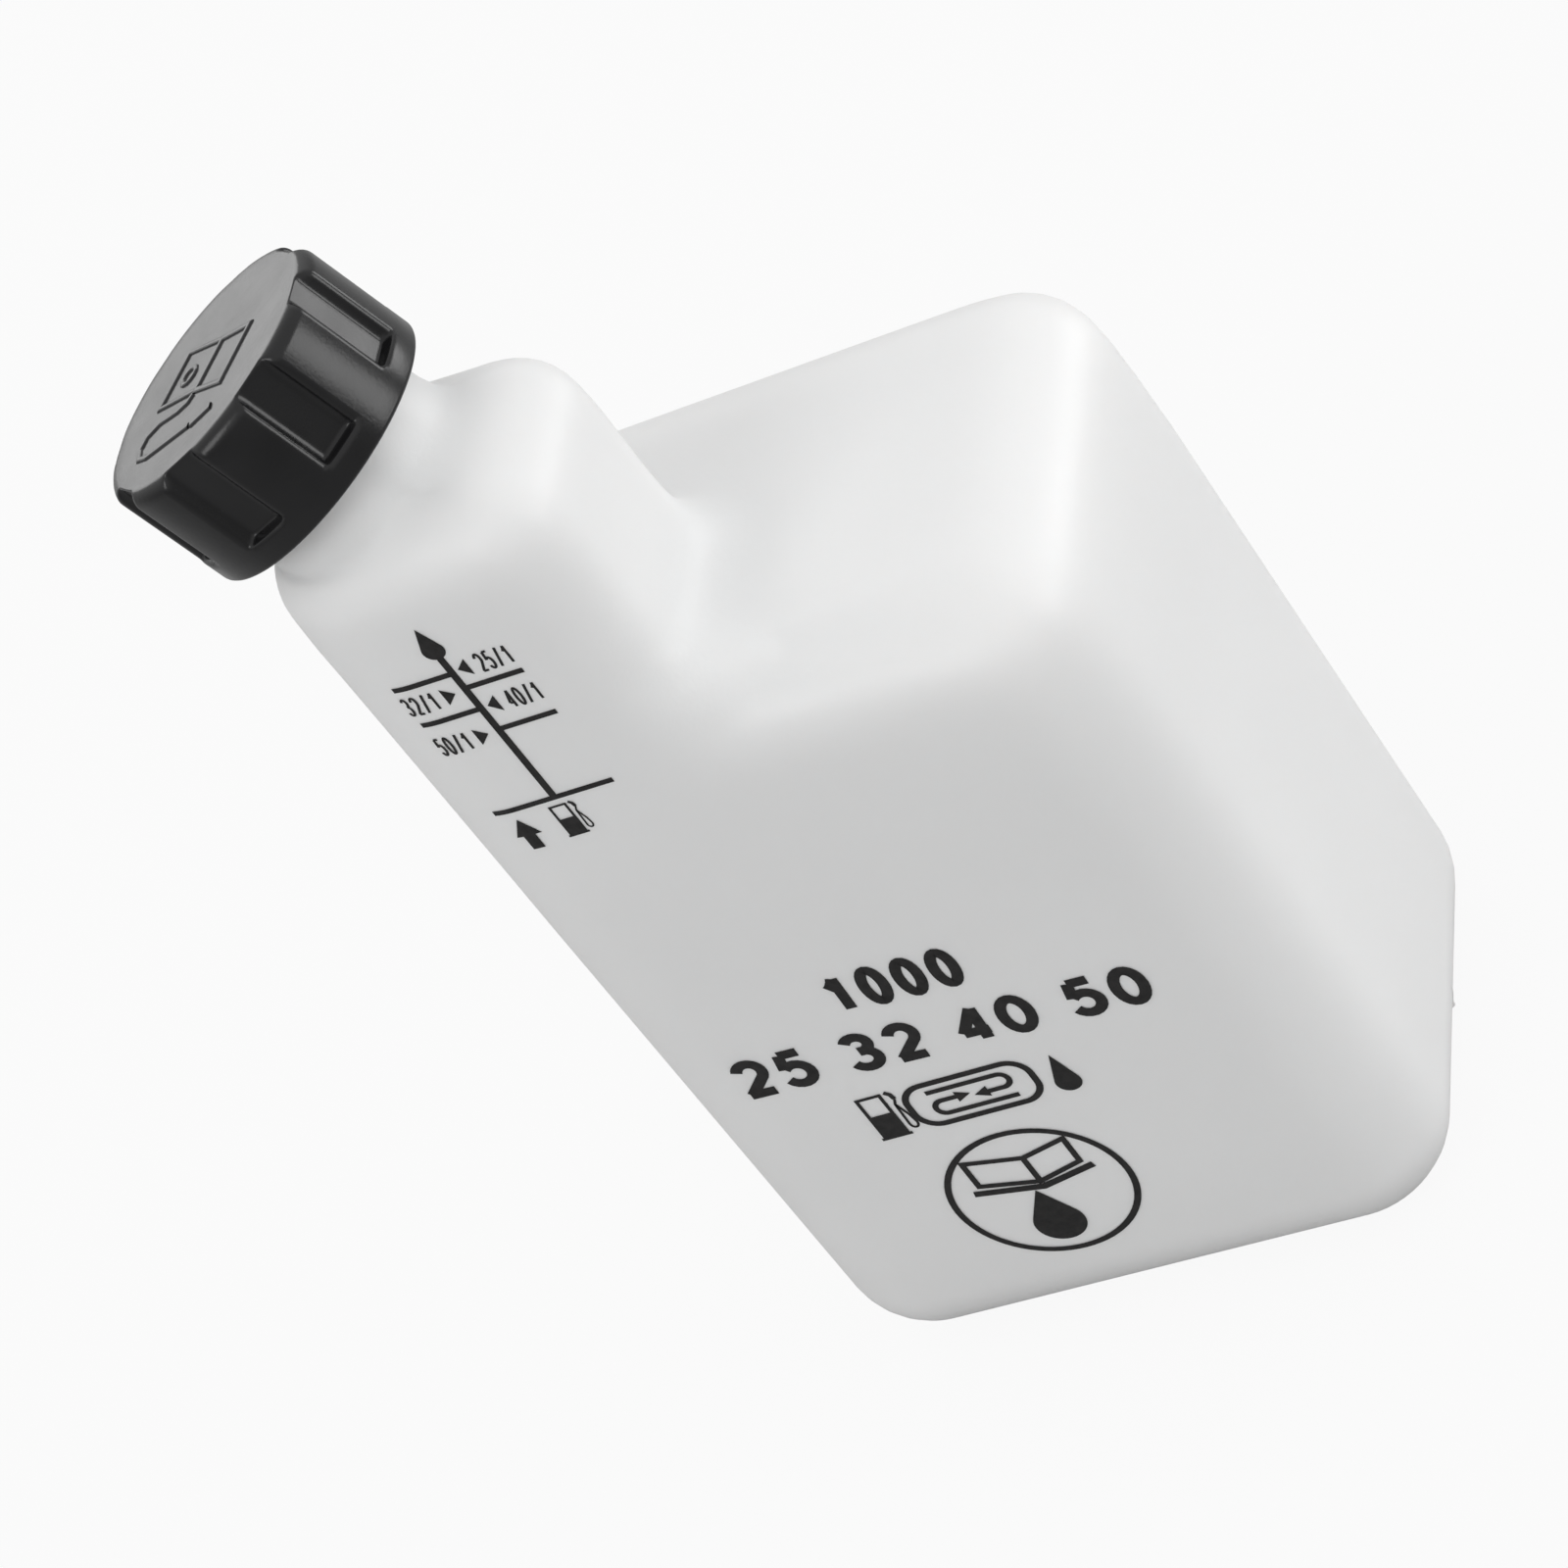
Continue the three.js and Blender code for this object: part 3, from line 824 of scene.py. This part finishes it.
def build_print():
    print_scale()
    print_marks()
    joined = bmesh.new()
    for mesh in ink_parts:
        joined.from_mesh(mesh)
    mesh = bpy.data.meshes.new("front_print")
    joined.to_mesh(mesh)
    joined.free()
    piece = bpy.data.objects.new("front_print", mesh)
    bpy.context.scene.collection.objects.link(piece)
    return piece


# Raised outline of a pump on the cap's top, in millimetres along the top's two crosswise directions. A stroke
# has a path, a width and whether it is closed. Its side leans in from its foot: reach beyond the half width,
# and rise.
EMBLEM_RISE = 0.28
EMBLEM_SIDE = ((0.3, -0.2), (0.3, 0.0), (0.1, EMBLEM_RISE * 0.75), (-0.12, EMBLEM_RISE))
EMBLEM_STROKES = [
    ([(10.0, 1.8), (6.5, -7.4), (-0.5, -3.9), (2.8, 4.4)], 0.75, True),
    ([(2.8, 4.4), (-6.4, 8.6), (-10.2, -0.4), (-0.5, -3.9)], 0.6, False),
    ([(-0.9, -4.4), (-1.8, -5.4), (-4.0, -5.6), (-8.6, -4.6), (-11.4, -5.4), (-12.3, -7.6), (-11.6, -9.9),
      (-9.4, -11.0), (1.0, -12.3)], 0.7, False),
    ([(1.6, -12.5), (6.0, -12.0)], 1.1, False),
    (arc(-4.2, 2.0, 1.5, 1.5, 0, 330, 11), 0.5, True),
]


def build_emblem():
    points = []
    faces = []
    for path, width, closed in EMBLEM_STROKES:
        rows = [(*ribbon_sides(path, width + 2 * beyond, closed), rise) for beyond, rise in EMBLEM_SIDE]
        section = [(left, rise) for left, _, rise in rows] + [(right, rise) for _, right, rise in rows[::-1]]
        count = len(path)
        first = len(points)
        for line, rise in section:
            for u, v in line:
                points.append(NECK_FOOT + AXIS * (CAP_STANDOFF + CAP_HEIGHT + rise) + ACROSS * u + SIDE * v)
        rows_around = len(section)
        for i in range(count if closed else count - 1):
            following = (i + 1) % count
            for j in range(rows_around):
                beside = (j + 1) % rows_around
                faces.append((first + j * count + i, first + j * count + following,
                              first + beside * count + following, first + beside * count + i))
        if not closed:
            faces.append(tuple(first + j * count for j in range(rows_around)))
            faces.append(tuple(first + j * count + count - 1 for j in reversed(range(rows_around))))
    emblem = new_object("cap_emblem", to_frame(points), faces, smooth=False)
    face_outwards(emblem)
    return emblem


# Materials. Noise varies the colour of all the object's materials, and the roughness and fine relief of most.
def principled(name, colour, roughness):
    material = bpy.data.materials.new(name)
    material.use_nodes = True
    shader = material.node_tree.nodes["Principled BSDF"]
    shader.inputs["Base Color"].default_value = (*colour, 1)
    shader.inputs["Roughness"].default_value = roughness
    return material, shader


def noise(tree, scale, detail, roughness=0.5):
    coordinates = tree.nodes.new("ShaderNodeTexCoord")
    texture = tree.nodes.new("ShaderNodeTexNoise")
    texture.inputs["Scale"].default_value = scale
    texture.inputs["Detail"].default_value = detail
    texture.inputs["Roughness"].default_value = roughness
    tree.links.new(coordinates.outputs["Object"], texture.inputs["Vector"])
    return texture.outputs["Fac"]


def mapped(tree, value, low, high):
    node = tree.nodes.new("ShaderNodeMapRange")
    node.inputs["To Min"].default_value = low
    node.inputs["To Max"].default_value = high
    tree.links.new(value, node.inputs["Value"])
    return node.outputs["Result"]


def colour_between(tree, value, low, high):
    ramp_node = tree.nodes.new("ShaderNodeValToRGB")
    ramp_node.color_ramp.elements[0].position = 0.3
    ramp_node.color_ramp.elements[0].color = (*low, 1)
    ramp_node.color_ramp.elements[1].position = 0.7
    ramp_node.color_ramp.elements[1].color = (*high, 1)
    tree.links.new(value, ramp_node.inputs["Fac"])
    return ramp_node.outputs["Color"]


def bump(tree, shader, value, distance, strength):
    node = tree.nodes.new("ShaderNodeBump")
    node.inputs["Strength"].default_value = strength
    node.inputs["Distance"].default_value = distance
    tree.links.new(value, node.inputs["Height"])
    tree.links.new(node.outputs["Normal"], shader.inputs["Normal"])


def milky_plastic():
    material, shader = principled("milky_polyethylene", (0.82, 0.815, 0.81), 0.42)
    tree = material.node_tree
    shader.inputs["Subsurface Weight"].default_value = 0.35
    shader.inputs["Subsurface Radius"].default_value = (1.0, 0.9, 0.85)
    shader.inputs["Subsurface Scale"].default_value = 0.006
    shader.inputs["IOR"].default_value = 1.5
    shader.inputs["Specular IOR Level"].default_value = 0.42
    tree.links.new(colour_between(tree, noise(tree, 14, 2), (0.805, 0.80, 0.795), (0.835, 0.83, 0.825)),
                   shader.inputs["Base Color"])
    tree.links.new(mapped(tree, noise(tree, 60, 3), 0.37, 0.49), shader.inputs["Roughness"])
    bump(tree, shader, noise(tree, 900, 4, 0.6), 0.00006, 0.5)
    return material


def black_plastic():
    material, shader = principled("black_moulded_plastic", (0.006, 0.006, 0.007), 0.25)
    tree = material.node_tree
    shader.inputs["Specular IOR Level"].default_value = 0.38
    tree.links.new(colour_between(tree, noise(tree, 90, 3), (0.003, 0.003, 0.0035), (0.007, 0.007, 0.0075)),
                   shader.inputs["Base Color"])
    tree.links.new(mapped(tree, noise(tree, 140, 4), 0.18, 0.3), shader.inputs["Roughness"])
    bump(tree, shader, noise(tree, 1600, 3, 0.6), 0.00004, 0.5)
    return material


def liner_foam():
    material, shader = principled("liner_foam", (0.78, 0.76, 0.7), 0.7)
    tree = material.node_tree
    tree.links.new(colour_between(tree, noise(tree, 300, 3), (0.74, 0.72, 0.66), (0.8, 0.78, 0.73)),
                   shader.inputs["Base Color"])
    bump(tree, shader, noise(tree, 2500, 3, 0.7), 0.0001, 0.6)
    return material


def print_ink():
    material, shader = principled("print_ink", (0.015, 0.014, 0.014), 0.5)
    tree = material.node_tree
    worn = noise(tree, 700, 4, 0.7)
    tree.links.new(colour_between(tree, worn, (0.006, 0.006, 0.006), (0.02, 0.019, 0.019)),
                   shader.inputs["Base Color"])
    shader.inputs["Specular IOR Level"].default_value = 0.25
    tree.links.new(mapped(tree, noise(tree, 400, 2), 0.38, 0.55), shader.inputs["Roughness"])
    return material


def finish_piece(piece, material, body):
    piece.data.materials.clear()
    piece.data.materials.append(material)
    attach(piece, body)


# Stage in metres: the camera sees floor and backdrop as white, and the floor keeps a share of its shading
WHITE_SHARE = 0.92
FLOOR_SIZE = 60
FLOOR_COLOUR = (0.45, 0.45, 0.45)
SKY_STRENGTH = 0.9
HORIZON_STRENGTH = 0.4
SKY_FULL_HEIGHT = 0.5
BACKDROP_STRENGTH = 0.97

# Soft lamps in metres and watts: place, aim, size, power
LAMPS = {
    "front_soft": ((-0.35, -1.0, 0.95), (0, 0, 0.1), 0.6, 3.7),
    "right_soft": ((0.95, 0.12, 0.26), (0, 0, 0.18), 0.42, 2.4),
    "back_right_soft": ((0.7, 0.75, 0.2), (0, 0, 0.2), 0.42, 2.3),
    "back_left_soft": ((-0.75, 0.75, 0.4), (0, 0, 0.2), 0.5, 1.3),
}


# The camera sees the surface as nearly white, and every other ray meets its own shading
def white_to_the_camera(tree, shaded, surface):
    white = tree.nodes.new("ShaderNodeEmission")
    white.inputs["Color"].default_value = (1, 1, 1, 1)
    white.inputs["Strength"].default_value = 1.0
    path = tree.nodes.new("ShaderNodeLightPath")
    share = tree.nodes.new("ShaderNodeMath")
    share.operation = "MULTIPLY"
    share.inputs[1].default_value = WHITE_SHARE
    mix = tree.nodes.new("ShaderNodeMixShader")
    tree.links.new(path.outputs["Is Camera Ray"], share.inputs[0])
    tree.links.new(share.outputs["Value"], mix.inputs["Fac"])
    tree.links.new(shaded, mix.inputs[1])
    tree.links.new(white.outputs["Emission"], mix.inputs[2])
    tree.links.new(mix.outputs["Shader"], surface)


def add_lamp(name, place, aim, size, power):
    data = bpy.data.lights.new(name, "AREA")
    data.size = size
    data.energy = power
    light = bpy.data.objects.new(name, data)
    light.visible_camera = False
    bpy.context.scene.collection.objects.link(light)
    light.location = place
    light.rotation_euler = (Vector(aim) - Vector(place)).to_track_quat("-Z", "Y").to_euler()


def lay_floor():
    bpy.ops.mesh.primitive_plane_add(size=FLOOR_SIZE)
    floor = bpy.context.object
    floor.name = "floor"
    material, shader = principled("floor_white", FLOOR_COLOUR, 0.9)
    shader.inputs["Specular IOR Level"].default_value = 0.1
    tree = material.node_tree
    surface = tree.nodes["Material Output"].inputs["Surface"]
    white_to_the_camera(tree, shader.outputs["BSDF"], surface)
    floor.data.materials.append(material)


# A sky that fades towards the horizon, plain white where the camera sees it
def light_world():
    world = bpy.data.worlds.new("studio")
    bpy.context.scene.world = world
    world.use_nodes = True
    tree = world.node_tree
    background = tree.nodes["Background"]
    background.inputs["Color"].default_value = (1, 1, 1, 1)
    direction = tree.nodes.new("ShaderNodeTexCoord")
    parts = tree.nodes.new("ShaderNodeSeparateXYZ")
    sky = tree.nodes.new("ShaderNodeMapRange")
    sky.inputs["From Max"].default_value = SKY_FULL_HEIGHT
    sky.inputs["To Min"].default_value = HORIZON_STRENGTH
    sky.inputs["To Max"].default_value = SKY_STRENGTH
    tree.links.new(direction.outputs["Generated"], parts.inputs["Vector"])
    tree.links.new(parts.outputs["Z"], sky.inputs["Value"])
    tree.links.new(sky.outputs["Result"], background.inputs["Strength"])
    white = tree.nodes.new("ShaderNodeBackground")
    white.inputs["Color"].default_value = (1, 1, 1, 1)
    white.inputs["Strength"].default_value = BACKDROP_STRENGTH
    path = tree.nodes.new("ShaderNodeLightPath")
    mix = tree.nodes.new("ShaderNodeMixShader")
    tree.links.new(path.outputs["Is Camera Ray"], mix.inputs["Fac"])
    tree.links.new(background.outputs["Background"], mix.inputs[1])
    tree.links.new(white.outputs["Background"], mix.inputs[2])
    tree.links.new(mix.outputs["Shader"], tree.nodes["World Output"].inputs["Surface"])


# The photograph's camera, in millimetres from the body's left wall, middle depth and base
CAMERA_PLACE = (366.8, -533.8, 579.7)
CAMERA_RIGHT = Vector((0.8673, 0.1032, -0.4870))
CAMERA_UP = Vector((0.2629, 0.7358, 0.6241))
SENSOR_WIDTH = 36
LENS = 120.62


def photo_camera():
    x, y, z = CAMERA_PLACE
    place = (Vector((x - BODY_WIDTH / 2, y, z)) + BODY_MIDDLE) * MM
    data = bpy.data.cameras.new("photo_camera")
    data.sensor_width = SENSOR_WIDTH
    data.lens = LENS
    camera = bpy.data.objects.new("photo_camera", data)
    bpy.context.scene.collection.objects.link(camera)
    rotation = Matrix((CAMERA_RIGHT, CAMERA_UP, CAMERA_RIGHT.cross(CAMERA_UP))).transposed()
    camera.matrix_world = Matrix.Translation(place) @ rotation.to_4x4()
    bpy.context.scene.camera = camera


photo_camera()
plastic = milky_plastic()
black = black_plastic()

bottle = build_bottle()
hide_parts("bottle")
finish_piece(bottle, plastic, "bottle")

neck_thread = build_thread("neck_thread", NECK_RADIUS, inward=False, start=NECK_THREAD_START,
                           turns=NECK_THREAD_TURNS, phase=NECK_THREAD_PHASE)
finish_piece(neck_thread, plastic, "bottle")

for trace in build_mould_traces():
    finish_piece(trace, plastic, "bottle")

cap = build_cap()
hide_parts("cap")
finish_piece(cap, black, "cap")

# The cap's ridge runs half a pitch beside the neck's
turns_between = (CAP_THREAD_START - NECK_THREAD_START - THREAD_PITCH / 2) / THREAD_PITCH
cap_thread = build_thread("cap_thread", CAP_BORE, inward=True, start=CAP_THREAD_START,
                          turns=CAP_THREAD_TURNS, phase=NECK_THREAD_PHASE + TURN * turns_between)
finish_piece(cap_thread, black, "cap")

emblem = build_emblem()
finish_piece(emblem, black, "cap")

# The print gets a dark ink material of its own
front_print = build_print()
finish_piece(front_print, print_ink(), "bottle")

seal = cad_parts["cap_seal"]
seal.data.materials.clear()
seal.data.materials.append(liner_foam())

bpy.context.scene.view_settings.view_transform = "Standard"
lay_floor()
light_world()
for lamp_name, lamp in LAMPS.items():
    add_lamp(lamp_name, *lamp)
